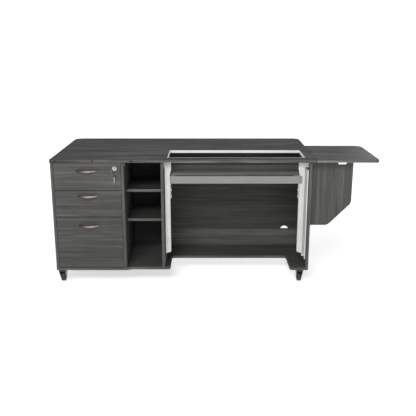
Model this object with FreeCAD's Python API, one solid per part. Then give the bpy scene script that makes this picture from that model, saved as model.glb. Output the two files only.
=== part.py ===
import FreeCAD, Part
import math
import os

# Sewing cabinet with a pedestal of three drawers, a shelf bay, a knee space with a machine lift,
# a folding leaf on the right and another at the rear, on four swivel casters.
# Millimetres. +X is to the sitter's right, -Y is the front, +Z is up, and the casters stand on z = 0.

# ---- boards -------------------------------------------------------------------------------------
BOARD = 16.0
BACK_SHEET = 6.0
TOP_Z = 765.0
TOP_UNDER = TOP_Z - BOARD
LEFT_X = -943.0
RIGHT_X = 943.0
FRONT_Y = -384.0
REAR_Y = 398.0
BODY_FRONT = FRONT_Y + BOARD
BODY_BACK = 78.0
CARCASS_Z = 90.0
FLOOR_Z = CARCASS_Z + BOARD

# ---- uprights, by their left faces --------------------------------------------------------------
DRAWER_DIVIDER_X = -537.0
KNEE_DIVIDER_X = -309.0
RIGHT_PANEL_X = 548.0
BAY_LEFT = LEFT_X + BOARD
SHELF_LEFT = DRAWER_DIVIDER_X + BOARD
KNEE_LEFT = KNEE_DIVIDER_X + BOARD
SIDE_OUTER = RIGHT_PANEL_X + BOARD

# ---- top, leaves and their seams ----------------------------------------------------------------
OVERHANG = 21.0
SEAM = 2.0
TOP_RIGHT = SIDE_OUTER + OVERHANG
TOP_REAR = BODY_BACK + OVERHANG
LEAF_LEFT = TOP_RIGHT + SEAM
REAR_LEAF_FRONT = TOP_REAR + SEAM
FRONT_CORNER_R = 8.0
LEAF_FRONT_R = 18.0
LEAF_BACK_R = 55.0
REAR_CORNER_R = 50.0

# ---- machine opening and its trim ---------------------------------------------------------------
TRIM_LEFT = -272.0
TRIM_RIGHT = 529.0
TRIM_FRONT = -311.0
TRIM_BACK = -69.0
TRIM_FLANGE = 4.0
TRIM_WALL = 2.0
TRIM_CORNER_R = 9.0
TRIM_PLAY = 0.2

# ---- base board cut back round the sitter's feet ------------------------------------------------
BASE_STEP = 13.0
BASE_STEP_X = -528.0
BASE_STEP_RUN = 36.0
FOOT_CUT_LEFT = -262.0
FOOT_CUT_RIGHT = 455.0
FOOT_CUT_DEPTH = 213.0
FOOT_CUT_R = 18.0

# ---- knee space back ----------------------------------------------------------------------------
KNEE_BACK_Y = BODY_BACK - BOARD
RAIL_TOP = 217.0
CABLE_NOTCH_X = 467.0
CABLE_NOTCH_R = 27.0
CABLE_NOTCH_Z = 211.0
PANEL_JOINT = 0.5

# ---- shelves ------------------------------------------------------------------------------------
SHELF_FRONT = -267.0
SHELF_TOPS = {"upper_shelf": 565.0, "lower_shelf": 384.5}
SHELF_PIN_R = 2.5
SHELF_PIN_REACH = 8.0

# ---- drawers ------------------------------------------------------------------------------------
# name: front's lowest and highest z, box wall's lowest and highest z, slide's z, handle's z
DRAWERS = {
    "top_drawer": (584.0, 747.0, 594.0, 700.0, 642.0, 698.0),
    "middle_drawer": (424.0, 581.0, 434.0, 548.0, 482.0, 549.5),
    "file_drawer": (110.0, 421.0, 120.0, 372.0, 246.0, 369.5),
}
FRONT_GAP = 2.0
DRAWER_WALL = 12.0
DRAWER_BOTTOM = 6.0
DRAWER_BOTTOM_RAISE = 8.0
DRAWER_BACK = 40.0
SLIDE_ROOM = 13.0
SLIDE_FRONT = -350.0
SLIDE_BACK = 50.0
SLIDE_STEEL = 1.2

# ---- bow handles --------------------------------------------------------------------------------
HANDLE_X = -736.0
HANDLE_HALF = 59.0
HANDLE_REACH = 30.0
HANDLE_THICK = 6.0
HANDLE_FOOT = 9.0
HANDLE_MID_HALF_HEIGHT = 6.0
HANDLE_END_HALF_HEIGHT = 2.5
SCREW_R = 2.0
SCREW_HEAD_R = 4.0

# ---- lock ---------------------------------------------------------------------------------------
LOCK_X = -573.0
LOCK_Z = 712.0
LOCK_BARREL_R = 8.9
LOCK_BARREL_OUT = 5.0
LOCK_FLANGE_R = 13.0
LOCK_FLANGE = 3.0
LOCK_CLIP_HALF = 14.0
LOCK_CLIP_HALF_HEIGHT = 8.8
LOCK_CLIP = 2.0
PLUG_R = 6.0
RUNNING_GAP = 0.06
CAM_LENGTH = 28.0
CAM_HALF_WIDTH = 6.0
CAM_STEEL = 3.0
STRIKE_FRONT = -351.0
STRIKE_LOW = 726.0
STRIKE_DEPTH = 24.0
STRIKE_HALF = 12.0
BRACKET_LEG = 28.0
BRACKET_HALF = 10.0
BRACKET_STEEL = 2.0
BRACKET_BACK_Y = 30.0
KEY_BOW_R = 11.0
SPARE_BOW_R = 8.5
KEY_RIM = 2.5
KEY_THICK = 2.0
KEY_HOLE_R = 3.0
RING_R = 16.0
RING_WIRE_R = 0.9
RING_PLAY = 0.7
SPARE_TURN = 50.0
SPARE_THICK = 1.8
KEY_BLADE = 19.0
SPARE_BLADE = 34.0
BLADE_HALF = 3.6

# ---- lift ---------------------------------------------------------------------------------------
COLUMN_WIDTH = 30.0
COLUMN_LEFT = KNEE_LEFT + 5.0
COLUMN_RIGHT = 498.0
COLUMN_FRONT = -332.0
COLUMN_DEPTH = 24.0
COLUMN_FOOT = 186.0
COLUMN_STEEL = 2.0
COLUMN_FOOT_SLANT = 9.0
EAR_REACH = 8.0
EAR_TOP = 747.0
EAR_SHOULDER = 701.0
EAR_FOOT = 667.0
EAR_ROOM = 1.0
CAP_LOW = 712.0
RAIL_FRONT = -364.0
RAIL_LIP = 6.0
RAIL_X = 541.5
RAIL_LOW = 160.0
RAIL_HIGH = 700.0
PLATFORM_TOP = 673.0
PLATFORM_GAP = 2.5
CARRIAGE_STEEL = 3.0
CARRIAGE_GAP = 2.0
CARRIAGE_FOOT = 522.0
ARM_LOW = 627.0
ARM_BACK = -95.0
ARM_FLANGE = 25.0
BAR_FRONT = -336.0
BAR_LOW = 616.0
BAR_HIGH = 660.0
BAR_STEEL = 2.5
BAR_RIGHT = 512.0
BAR_DEPTH = 14.0
REAR_BAR_DEPTH = 20.0
SPOOL_R = 8.5
SPOOL_LENGTH = 17.0
SPOOL_INSET = 3.0
TAPE_WIDTH = 13.0
TAPE_OFF = 0.6
SPOOL_Z = 733.0
SPOOL_PIN_R = 3.0
BLOCK_TOP = 630.0
BLOCK_LOW = 560.0
BLOCK_HEIGHT = 30.0
TAPE = 0.4

# ---- hinges -------------------------------------------------------------------------------------
KNUCKLE_R = 2.5
PIN_R = 1.3
LEAF_STEEL = 1.5
HINGE_LEAF = 18.0
HINGE_LENGTH = 60.0
KNUCKLE_GAP = 0.5
LEAF_AXIS_Z = TOP_UNDER - KNUCKLE_R

# ---- gate supports ------------------------------------------------------------------------------
SUPPORT_TOP = 748.5
RIGHT_SUPPORT_AXIS_Y = -293.5
RIGHT_SUPPORT_REACH = 811.0
RIGHT_SUPPORT_LOW = 357.0
RIGHT_SUPPORT_CHAMFER = 135.0
RIGHT_SUPPORT_R = 45.0
FINGER_NOTCH_X = 749.0
FINGER_NOTCH_HALF = 36.0
FINGER_NOTCH_FLOOR_HALF = 22.0
FINGER_NOTCH_R = 8.0
FINGER_NOTCH_DEPTH = 26.0
REAR_SUPPORT_AXIS_X = -196.0
REAR_SUPPORT_REACH = 290.0
REAR_SUPPORT_LOW = 480.0
REAR_SUPPORT_CHAMFER = 90.0
REAR_SUPPORT_R = 30.0
SUPPORT_TIP_R = 4.0
NOTCH_LIP_R = 3.0
SUPPORT_CLEAR = 1.5

# ---- casters ------------------------------------------------------------------------------------
CASTER_XS = {"left": -918.0, "right": 519.0}
CASTER_YS = {"front": -319.0, "rear": 22.0}
CASTER_PLATE = 46.0
CASTER_PLATE_LOW = 87.0
CASTER_BOSS_LOW = 83.5
CASTER_BOSS_R = 16.0
KINGPIN_R = 4.0
KINGPIN_LOW = 77.0
FORK_TOP = 83.2
FORK_CROWN_LOW = 76.5
FORK_TOP_HALF = 21.5
FORK_LOW_HALF = 16.5
WHEEL_R = 31.0
WHEEL_HALF = 12.5
WHEEL_TRAIL = 16.0
AXLE_R = 4.0


# ---- helpers ------------------------------------------------------------------------------------
def vec(x, y, z):
    return FreeCAD.Vector(x, y, z)


def block(x0, x1, y0, y1, z0, z1):
    return Part.makeBox(x1 - x0, y1 - y0, z1 - z0, vec(x0, y0, z0))


def rod(radius, start, direction, length):
    return Part.makeCylinder(radius, length, vec(*start), vec(*direction))


def joined(pieces):
    solid = pieces[0].fuse(list(pieces[1:]))
    return solid.removeSplitter()


def corner_arc(before, corner, after, radius):
    """The arc of that radius in a corner: its first, middle and last points, in the plane."""
    in_x, in_y = before[0] - corner[0], before[1] - corner[1]
    out_x, out_y = after[0] - corner[0], after[1] - corner[1]
    in_len, out_len = math.hypot(in_x, in_y), math.hypot(out_x, out_y)
    in_x, in_y = in_x / in_len, in_y / in_len
    out_x, out_y = out_x / out_len, out_y / out_len
    half = math.acos(in_x * out_x + in_y * out_y) / 2
    reach = radius / math.tan(half)
    to_middle = radius / math.sin(half) - radius
    mid_x, mid_y = in_x + out_x, in_y + out_y
    mid_len = math.hypot(mid_x, mid_y)
    first = (corner[0] + in_x * reach, corner[1] + in_y * reach)
    middle = (corner[0] + mid_x / mid_len * to_middle, corner[1] + mid_y / mid_len * to_middle)
    last = (corner[0] + out_x * reach, corner[1] + out_y * reach)
    return first, middle, last


def prism(outline, plane, start, end):
    """A closed outline of (a, b, corner radius) in plane XY, XZ or YZ, extruded from start to end."""
    place = {
        "XY": lambda p: vec(p[0], p[1], start),
        "XZ": lambda p: vec(p[0], start, p[1]),
        "YZ": lambda p: vec(start, p[0], p[1]),
    }[plane]
    way = {"XY": (0, 0, 1), "XZ": (0, 1, 0), "YZ": (1, 0, 0)}[plane]
    count = len(outline)
    stretches = []
    for i in range(count):
        corner = outline[i]
        if corner[2] > 0:
            stretches.append(corner_arc(outline[i - 1], corner, outline[(i + 1) % count], corner[2]))
        else:
            stretches.append((corner[:2],))
    edges = []
    for i in range(count):
        here, following = stretches[i], stretches[(i + 1) % count]
        if len(here) == 3:
            edges.append(Part.Arc(*[place(p) for p in here]).toShape())
        if math.dist(here[-1], following[0]) > 1e-6:
            edges.append(Part.LineSegment(place(here[-1]), place(following[0])).toShape())
    return Part.Face(Part.Wire(edges)).extrude(vec(*way) * (end - start))


def rounded_block(x0, x1, y0, y1, z0, z1, radius):
    return prism([(x0, y0, radius), (x1, y0, radius), (x1, y1, radius), (x0, y1, radius)], "XY", z0, z1)


def group(pieces):
    return Part.makeCompound(pieces)


# ---- hinges -------------------------------------------------------------------------------------
def hinge(axis_point, axis_way, fixed_way, fixed_side, moving_way, moving_side):
    """A butt hinge of three knuckles: its fixed leaf, its moving leaf and its pin.

    axis_way runs along the pin. A leaf reaches out along its way, on its side of the knuckles.
    """
    start = vec(*axis_point) - vec(*axis_way) * (HINGE_LENGTH / 2)
    third = HINGE_LENGTH / 3

    def leaf(way, side, length, low):
        out, across = vec(*way), vec(*side)
        corner = start + vec(*axis_way) * low + across * (KNUCKLE_R - LEAF_STEEL)
        corners = [corner, corner + out * HINGE_LEAF]
        corners.append(corners[1] + across * LEAF_STEEL)
        corners.append(corner + across * LEAF_STEEL)
        face = Part.Face(Part.makePolygon(corners + [corner]))
        return face.extrude(vec(*axis_way) * length)

    def knuckle(low, length):
        return Part.makeCylinder(KNUCKLE_R, length, start + vec(*axis_way) * low, vec(*axis_way))

    def clearance(low, length):
        radius = KNUCKLE_R + KNUCKLE_GAP
        return Part.makeCylinder(radius, length, start + vec(*axis_way) * low, vec(*axis_way))

    bore_fixed = Part.makeCylinder(PIN_R, HINGE_LENGTH, start, vec(*axis_way))
    bore_moving = Part.makeCylinder(PIN_R + RUNNING_GAP, HINGE_LENGTH, start, vec(*axis_way))
    fixed = joined([
        leaf(fixed_way, fixed_side, HINGE_LENGTH, 0).cut(clearance(third, third)),
        knuckle(0, third),
        knuckle(2 * third, third),
    ]).cut(bore_fixed)
    middle = (third + KNUCKLE_GAP, third - 2 * KNUCKLE_GAP)
    plate = leaf(moving_way, moving_side, HINGE_LENGTH, 0)
    plate = plate.cut(clearance(-1, third + 1 + KNUCKLE_GAP))
    plate = plate.cut(clearance(2 * third - KNUCKLE_GAP, third + 1 + KNUCKLE_GAP))
    moving = joined([plate, knuckle(*middle)]).cut(bore_moving)
    return fixed, moving, bore_fixed


def right_leaf_hinges():
    x = (TOP_RIGHT + LEAF_LEFT) / 2
    return [
        hinge((x, y, LEAF_AXIS_Z), (0, 1, 0), (-1, 0, 0), (0, 0, 1), (1, 0, 0), (0, 0, 1))
        for y in (-345.0, 40.0)
    ]


def rear_leaf_hinges():
    y = (TOP_REAR + REAR_LEAF_FRONT) / 2
    return [
        hinge((x, y, LEAF_AXIS_Z), (1, 0, 0), (0, -1, 0), (0, 0, 1), (0, 1, 0), (0, 0, 1))
        for x in (-860.0, -420.0, 60.0, 500.0)
    ]


def right_support_hinges():
    x = SIDE_OUTER + KNUCKLE_R
    return [
        hinge((x, RIGHT_SUPPORT_AXIS_Y, z), (0, 0, 1), (0, 1, 0), (-1, 0, 0), (1, 0, 0), (0, -1, 0))
        for z in (690.0, 420.0)
    ]


def rear_support_hinges():
    y = BODY_BACK + KNUCKLE_R
    return [
        hinge((REAR_SUPPORT_AXIS_X, y, z), (0, 0, 1), (1, 0, 0), (0, -1, 0), (0, 1, 0), (-1, 0, 0))
        for z in (690.0, 530.0)
    ]


def fixed_hinge_leaves():
    pieces = []
    for hinges in (right_leaf_hinges(), rear_leaf_hinges(), right_support_hinges(), rear_support_hinges()):
        for fixed, moving, pin in hinges:
            pieces += [fixed, pin]
    return group(pieces)


def moving_leaves(hinges):
    return group([moving for fixed, moving, pin in hinges])


# ---- top and leaves -----------------------------------------------------------------------------
def main_top():
    outline = [
        (LEFT_X, FRONT_Y, FRONT_CORNER_R),
        (TOP_RIGHT, FRONT_Y, 0),
        (TOP_RIGHT, TOP_REAR, 0),
        (LEFT_X, TOP_REAR, 0),
    ]
    board = prism(outline, "XY", TOP_UNDER, TOP_Z)
    wall = TRIM_FLANGE - TRIM_WALL - TRIM_PLAY
    hole = rounded_block(
        TRIM_LEFT + wall, TRIM_RIGHT - wall, TRIM_FRONT + wall, TRIM_BACK - wall,
        TOP_UNDER - 1, TOP_Z + 1, TRIM_CORNER_R,
    )
    rebate = rounded_block(
        TRIM_LEFT - TRIM_PLAY, TRIM_RIGHT + TRIM_PLAY, TRIM_FRONT - TRIM_PLAY, TRIM_BACK + TRIM_PLAY,
        TOP_Z - TRIM_WALL, TOP_Z + 1, TRIM_CORNER_R,
    )
    return board.cut(hole).cut(rebate)


def opening_trim():
    wall = TRIM_FLANGE - TRIM_WALL
    flange = rounded_block(
        TRIM_LEFT, TRIM_RIGHT, TRIM_FRONT, TRIM_BACK, TOP_Z - TRIM_WALL, TOP_Z, TRIM_CORNER_R
    )
    sleeve = rounded_block(
        TRIM_LEFT + wall, TRIM_RIGHT - wall, TRIM_FRONT + wall, TRIM_BACK - wall,
        TOP_UNDER, TOP_Z - TRIM_WALL, TRIM_CORNER_R,
    )
    inner = rounded_block(
        TRIM_LEFT + TRIM_FLANGE, TRIM_RIGHT - TRIM_FLANGE, TRIM_FRONT + TRIM_FLANGE,
        TRIM_BACK - TRIM_FLANGE, TOP_UNDER - 1, TOP_Z + 1, TRIM_CORNER_R - TRIM_WALL,
    )
    return joined([flange, sleeve]).cut(inner)


def right_leaf():
    outline = [
        (LEAF_LEFT, FRONT_Y, 0),
        (RIGHT_X, FRONT_Y, LEAF_FRONT_R),
        (RIGHT_X, TOP_REAR, LEAF_BACK_R),
        (LEAF_LEFT, TOP_REAR, 0),
    ]
    return prism(outline, "XY", TOP_UNDER, TOP_Z)


def rear_leaf():
    outline = [
        (LEFT_X, REAR_LEAF_FRONT, 0),
        (TOP_RIGHT, REAR_LEAF_FRONT, 0),
        (TOP_RIGHT, REAR_Y, REAR_CORNER_R),
        (LEFT_X, REAR_Y, REAR_CORNER_R),
    ]
    return prism(outline, "XY", TOP_UNDER, TOP_Z)


# ---- carcass ------------------------------------------------------------------------------------
def upright(x, low, back):
    return block(x, x + BOARD, BODY_FRONT, back, low, TOP_UNDER)


def base_board():
    step_y = BODY_FRONT + BASE_STEP
    cut_back = BODY_FRONT + FOOT_CUT_DEPTH
    step_r = 30.0
    outline = [
        (BAY_LEFT, BODY_FRONT, 0),
        (BASE_STEP_X, BODY_FRONT, step_r),
        (BASE_STEP_X + BASE_STEP_RUN, step_y, step_r),
        (FOOT_CUT_LEFT, step_y, FOOT_CUT_R),
        (FOOT_CUT_LEFT, cut_back, FOOT_CUT_R),
        (FOOT_CUT_RIGHT, cut_back, FOOT_CUT_R),
        (FOOT_CUT_RIGHT, BODY_FRONT, FOOT_CUT_R),
        (RIGHT_PANEL_X, BODY_FRONT, 0),
        (RIGHT_PANEL_X, BODY_BACK, 0),
        (BAY_LEFT, BODY_BACK, 0),
    ]
    return prism(outline, "XY", CARCASS_Z, FLOOR_Z)


def pedestal_back_panel():
    front = BODY_BACK - BACK_SHEET
    return block(BAY_LEFT, KNEE_DIVIDER_X, front, BODY_BACK, FLOOR_Z, TOP_UNDER)


def knee_back_panel():
    panel = block(KNEE_LEFT, RIGHT_PANEL_X, KNEE_BACK_Y, BODY_BACK, RAIL_TOP + PANEL_JOINT, TOP_UNDER)
    notch = rod(CABLE_NOTCH_R, (CABLE_NOTCH_X, KNEE_BACK_Y - 1, CABLE_NOTCH_Z), (0, 1, 0), BOARD + 2)
    return panel.cut(notch)


def knee_back_rail():
    return block(KNEE_LEFT, RIGHT_PANEL_X, KNEE_BACK_Y, BODY_BACK, FLOOR_Z, RAIL_TOP)


def shelf(top):
    back = BODY_BACK - BACK_SHEET
    return block(SHELF_LEFT + 0.5, KNEE_DIVIDER_X - 0.5, SHELF_FRONT, back - 0.5, top - BOARD, top)


def shelf_pins():
    pins = []
    for top in SHELF_TOPS.values():
        z = top - BOARD - SHELF_PIN_R
        for y in (SHELF_FRONT + 40, BODY_BACK - 60):
            pins.append(rod(SHELF_PIN_R, (SHELF_LEFT, y, z), (1, 0, 0), SHELF_PIN_REACH))
            pins.append(rod(SHELF_PIN_R, (KNEE_DIVIDER_X, y, z), (-1, 0, 0), SHELF_PIN_REACH))
    return group(pins)


def angle_bracket(x, way, y):
    """A short steel angle that ties an upright to the top. way is the side of the upright it is on."""
    outline = [
        (x, TOP_UNDER, 0),
        (x, TOP_UNDER - BRACKET_LEG, 0),
        (x + way * BRACKET_STEEL, TOP_UNDER - BRACKET_LEG, 0),
        (x + way * BRACKET_STEEL, TOP_UNDER - BRACKET_STEEL, 0),
        (x + way * BRACKET_LEG, TOP_UNDER - BRACKET_STEEL, 0),
        (x + way * BRACKET_LEG, TOP_UNDER, 0),
    ]
    return prism(outline, "XZ", y - BRACKET_HALF, y + BRACKET_HALF)


def lock_strike():
    """A steel angle under the top. The lock's cam turns up behind its hanging leg."""
    outline = [
        (STRIKE_FRONT, STRIKE_LOW, 0),
        (STRIKE_FRONT + BRACKET_STEEL, STRIKE_LOW, 0),
        (STRIKE_FRONT + BRACKET_STEEL, TOP_UNDER - BRACKET_STEEL, 0),
        (STRIKE_FRONT + STRIKE_DEPTH, TOP_UNDER - BRACKET_STEEL, 0),
        (STRIKE_FRONT + STRIKE_DEPTH, TOP_UNDER, 0),
        (STRIKE_FRONT, TOP_UNDER, 0),
    ]
    return prism(outline, "YZ", LOCK_X - STRIKE_HALF, LOCK_X + STRIKE_HALF)


def fixing_brackets():
    pieces = [lock_strike()]
    for y in (BODY_FRONT + 38, BODY_BACK - 38):
        pieces.append(angle_bracket(SHELF_LEFT, 1, y))
        pieces.append(angle_bracket(KNEE_DIVIDER_X, -1, y))
    pieces.append(angle_bracket(BAY_LEFT, 1, BRACKET_BACK_Y))
    pieces.append(angle_bracket(DRAWER_DIVIDER_X, -1, BRACKET_BACK_Y))
    pieces.append(angle_bracket(RIGHT_PANEL_X, -1, BRACKET_BACK_Y))
    pieces.append(angle_bracket(KNEE_LEFT, 1, BRACKET_BACK_Y))
    return group(pieces)


# ---- drawers and their slides -------------------------------------------------------------------
def drawer_front(name):
    low, high = DRAWERS[name][:2]
    front = block(
        BAY_LEFT + FRONT_GAP, DRAWER_DIVIDER_X - FRONT_GAP, BODY_FRONT, BODY_FRONT + BOARD, low, high
    )
    for x in handle_screw_xs():
        hole = rod(SCREW_R + 0.1, (x, BODY_FRONT - 1, DRAWERS[name][5]), (0, 1, 0), BOARD + 2)
        front = front.cut(hole)
    if name == "top_drawer":
        hole = rod(LOCK_BARREL_R + 0.2, (LOCK_X, BODY_FRONT - 1, LOCK_Z), (0, 1, 0), BOARD + 2)
        front = front.cut(hole)
    return front


def drawer_box(name):
    low, high = DRAWERS[name][2:4]
    left, right = BAY_LEFT + SLIDE_ROOM, DRAWER_DIVIDER_X - SLIDE_ROOM
    front, back = BODY_FRONT + BOARD, DRAWER_BACK
    floor = low + DRAWER_BOTTOM_RAISE
    return group([
        block(left, left + DRAWER_WALL, front, back, low, high),
        block(right - DRAWER_WALL, right, front, back, low, high),
        block(left + DRAWER_WALL, right - DRAWER_WALL, back - DRAWER_WALL, back, floor, high),
        block(
            left + DRAWER_WALL, right - DRAWER_WALL, front, back - DRAWER_WALL, floor, floor + DRAWER_BOTTOM
        ),
    ])


def slide_channel(web, lips, half_height, y0, y1, z, side):
    """One C-shaped slide member. web and lips are distances from the bay's side; side is -1 left, 1 right."""
    base = BAY_LEFT if side < 0 else DRAWER_DIVIDER_X
    inward = -side
    back = web + SLIDE_STEEL if lips > web else web - SLIDE_STEEL
    outline = [
        (base + inward * web, z - half_height, 0),
        (base + inward * lips, z - half_height, 0),
        (base + inward * lips, z - half_height + SLIDE_STEEL, 0),
        (base + inward * back, z - half_height + SLIDE_STEEL, 0),
        (base + inward * back, z + half_height - SLIDE_STEEL, 0),
        (base + inward * lips, z + half_height - SLIDE_STEEL, 0),
        (base + inward * lips, z + half_height, 0),
        (base + inward * web, z + half_height, 0),
    ]
    return prism(outline, "XZ", y0, y1)


def slide_cabinet_members():
    return group([
        slide_channel(0, 11.5, 22.5, SLIDE_FRONT, SLIDE_BACK, sizes[4], side)
        for sizes in DRAWERS.values() for side in (-1, 1)
    ])


def slide_middle_members(name):
    z = DRAWERS[name][4]
    return group([
        slide_channel(2.6, 11.4, 19.0, SLIDE_FRONT, SLIDE_BACK, z, side) for side in (-1, 1)
    ])


def slide_drawer_members(name):
    z = DRAWERS[name][4]
    return group([
        slide_channel(SLIDE_ROOM, 5.4, 15.5, SLIDE_FRONT, SLIDE_BACK - 12, z, side) for side in (-1, 1)
    ])


def handle_screw_xs():
    inset = HANDLE_HALF - HANDLE_FOOT / 2 - 1
    return HANDLE_X - inset, HANDLE_X + inset


def bow_handle(name):
    """A crescent pull: a bow in plan, narrowing towards its ends in front view, and its two screws."""
    z = DRAWERS[name][5]
    face = BODY_FRONT

    def bow(half, reach, low, high):
        ends = vec(HANDLE_X - half, face, low), vec(HANDLE_X + half, face, low)
        arc = Part.Arc(ends[0], vec(HANDLE_X, face - reach, low), ends[1]).toShape()
        line = Part.LineSegment(ends[1], ends[0]).toShape()
        return Part.Face(Part.Wire([arc, line])).extrude(vec(0, 0, high - low))

    outer = bow(HANDLE_HALF, HANDLE_REACH, z - 10, z + 10)
    inner = bow(HANDLE_HALF - HANDLE_FOOT, HANDLE_REACH - HANDLE_THICK, z - 11, z + 11)
    end, mid = HANDLE_END_HALF_HEIGHT, HANDLE_MID_HALF_HEIGHT
    left, right = HANDLE_X - HANDLE_HALF - 1, HANDLE_X + HANDLE_HALF + 1
    start = face - HANDLE_REACH - 1
    edges = [
        Part.Arc(vec(left, start, z - end), vec(HANDLE_X, start, z - mid), vec(right, start, z - end)).toShape(),
        Part.LineSegment(vec(right, start, z - end), vec(right, start, z + end)).toShape(),
        Part.Arc(vec(right, start, z + end), vec(HANDLE_X, start, z + mid), vec(left, start, z + end)).toShape(),
        Part.LineSegment(vec(left, start, z + end), vec(left, start, z - end)).toShape(),
    ]
    lens = Part.Face(Part.Wire(edges)).extrude(vec(0, HANDLE_REACH + 2, 0))
    pull = outer.cut(inner).common(lens)
    pieces = pull.Solids
    for x in handle_screw_xs():
        shank = rod(SCREW_R, (x, face, z), (0, 1, 0), BOARD)
        head = rod(SCREW_HEAD_R, (x, face + BOARD, z), (0, 1, 0), 2.5)
        pieces.append(joined([shank, head]))
    return group(pieces)


# ---- lock and keys ------------------------------------------------------------------------------
def lock_body():
    face = BODY_FRONT
    back = BODY_FRONT + BOARD
    flange = rod(LOCK_FLANGE_R, (LOCK_X, face - LOCK_FLANGE, LOCK_Z), (0, 1, 0), LOCK_FLANGE)
    barrel = rod(LOCK_BARREL_R, (LOCK_X, face, LOCK_Z), (0, 1, 0), BOARD + LOCK_BARREL_OUT)
    clip = block(
        LOCK_X - LOCK_CLIP_HALF, LOCK_X + LOCK_CLIP_HALF, back, back + LOCK_CLIP,
        LOCK_Z - LOCK_CLIP_HALF_HEIGHT, LOCK_Z + LOCK_CLIP_HALF_HEIGHT,
    )
    bore = rod(PLUG_R + RUNNING_GAP, (LOCK_X, face - LOCK_FLANGE - 1, LOCK_Z), (0, 1, 0), BOARD + 12)
    return joined([flange, barrel, clip]).cut(bore)


def lock_plug():
    """The turning plug with a key slot in its face, and the cam fixed to its inner end."""
    face = BODY_FRONT - LOCK_FLANGE - 0.8
    inner = BODY_FRONT + BOARD + LOCK_BARREL_OUT + 0.4
    plug = rod(PLUG_R, (LOCK_X, face, LOCK_Z), (0, 1, 0), inner - face)
    slot = block(LOCK_X - 1.05, LOCK_X + 1.05, face - 1, face + 18, LOCK_Z - 4, LOCK_Z + 4)
    end_r = CAM_HALF_WIDTH - 0.1
    outline = [
        (LOCK_X - CAM_LENGTH, LOCK_Z - CAM_HALF_WIDTH, end_r),
        (LOCK_X + CAM_HALF_WIDTH, LOCK_Z - CAM_HALF_WIDTH, end_r),
        (LOCK_X + CAM_HALF_WIDTH, LOCK_Z + CAM_HALF_WIDTH, end_r),
        (LOCK_X - CAM_LENGTH, LOCK_Z + CAM_HALF_WIDTH, end_r),
    ]
    cam = prism(outline, "XZ", inner, inner + CAM_STEEL)
    return group([plug.cut(slot), cam])


def key_hole_offset(bow_r):
    return bow_r - KEY_HOLE_R - KEY_RIM


def key(thickness, bow_r, blade_length):
    """A flat key in the YZ plane: bow centred on the origin, blade along +Y, hole towards -Y."""
    bow = rod(bow_r, (-thickness / 2, 0, 0), (1, 0, 0), thickness)
    blade = block(
        -thickness / 2, thickness / 2, bow_r - 2, bow_r + blade_length, -BLADE_HALF, BLADE_HALF
    )
    solid = joined([bow, blade])
    for i in range(4):
        y = bow_r + blade_length * (0.35 + 0.16 * i)
        cut = prism([(y - 1.8, 3.8, 0), (y, 1.8 - 0.3 * (i % 2), 0), (y + 1.8, 3.8, 0)], "YZ", -2, 2)
        solid = solid.cut(cut)
    hole = rod(KEY_HOLE_R, (-thickness, -key_hole_offset(bow_r), 0), (1, 0, 0), 2 * thickness)
    return solid.cut(hole)


def lock_key():
    solid = key(KEY_THICK, KEY_BOW_R, KEY_BLADE)
    solid.translate(vec(LOCK_X, key_bow_y(), LOCK_Z))
    return solid


def key_bow_y():
    return BODY_FRONT - HANDLE_REACH + KEY_BOW_R + 0.5


def key_hole_y():
    return key_bow_y() - key_hole_offset(KEY_BOW_R)


def key_ring():
    centre = vec(LOCK_X, key_hole_y(), LOCK_Z - RING_R - 0.2)
    return Part.makeTorus(RING_R, RING_WIRE_R, centre, vec(0, 1, 0))


def spare_key():
    solid = key(SPARE_THICK, SPARE_BOW_R, SPARE_BLADE)
    solid.rotate(vec(0, 0, 0), vec(1, 0, 0), -90)
    solid.rotate(vec(0, 0, 0), vec(0, 0, 1), SPARE_TURN)
    wire_z = LOCK_Z - 2 * RING_R - 0.2
    hole_z = wire_z - (KEY_HOLE_R - RING_WIRE_R - RING_PLAY)
    solid.translate(vec(LOCK_X, key_hole_y(), hole_z - key_hole_offset(SPARE_BOW_R)))
    return solid


# ---- machine lift -------------------------------------------------------------------------------
def lift_sides():
    """Each column's wall side x, its open side x, and the way that points from wall to opening."""
    left = (COLUMN_LEFT, COLUMN_LEFT + COLUMN_WIDTH, 1)
    right = (COLUMN_RIGHT + COLUMN_WIDTH, COLUMN_RIGHT, -1)
    return left, right


def panel_face(way):
    """The x of the cabinet panel beside a column."""
    return KNEE_LEFT if way > 0 else RIGHT_PANEL_X


def lift_column(wall_x, open_x, way):
    back = COLUMN_FRONT + COLUMN_DEPTH
    steel = COLUMN_STEEL
    outline = [
        (wall_x, COLUMN_FRONT, 0),
        (open_x, COLUMN_FRONT, 0),
        (open_x, COLUMN_FRONT + steel, 0),
        (wall_x + way * steel, COLUMN_FRONT + steel, 0),
        (wall_x + way * steel, back - steel, 0),
        (open_x, back - steel, 0),
        (open_x, back, 0),
        (wall_x, back, 0),
    ]
    column = prism(outline, "XY", COLUMN_FOOT, EAR_TOP)
    slant = prism(
        [
            (wall_x - way, COLUMN_FOOT - 1, 0),
            (open_x + way, COLUMN_FOOT - 1, 0),
            (open_x + way, COLUMN_FOOT + COLUMN_FOOT_SLANT, 0),
        ],
        "XZ", COLUMN_FRONT - 1, back + 1,
    )
    return column.cut(slant)


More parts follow.
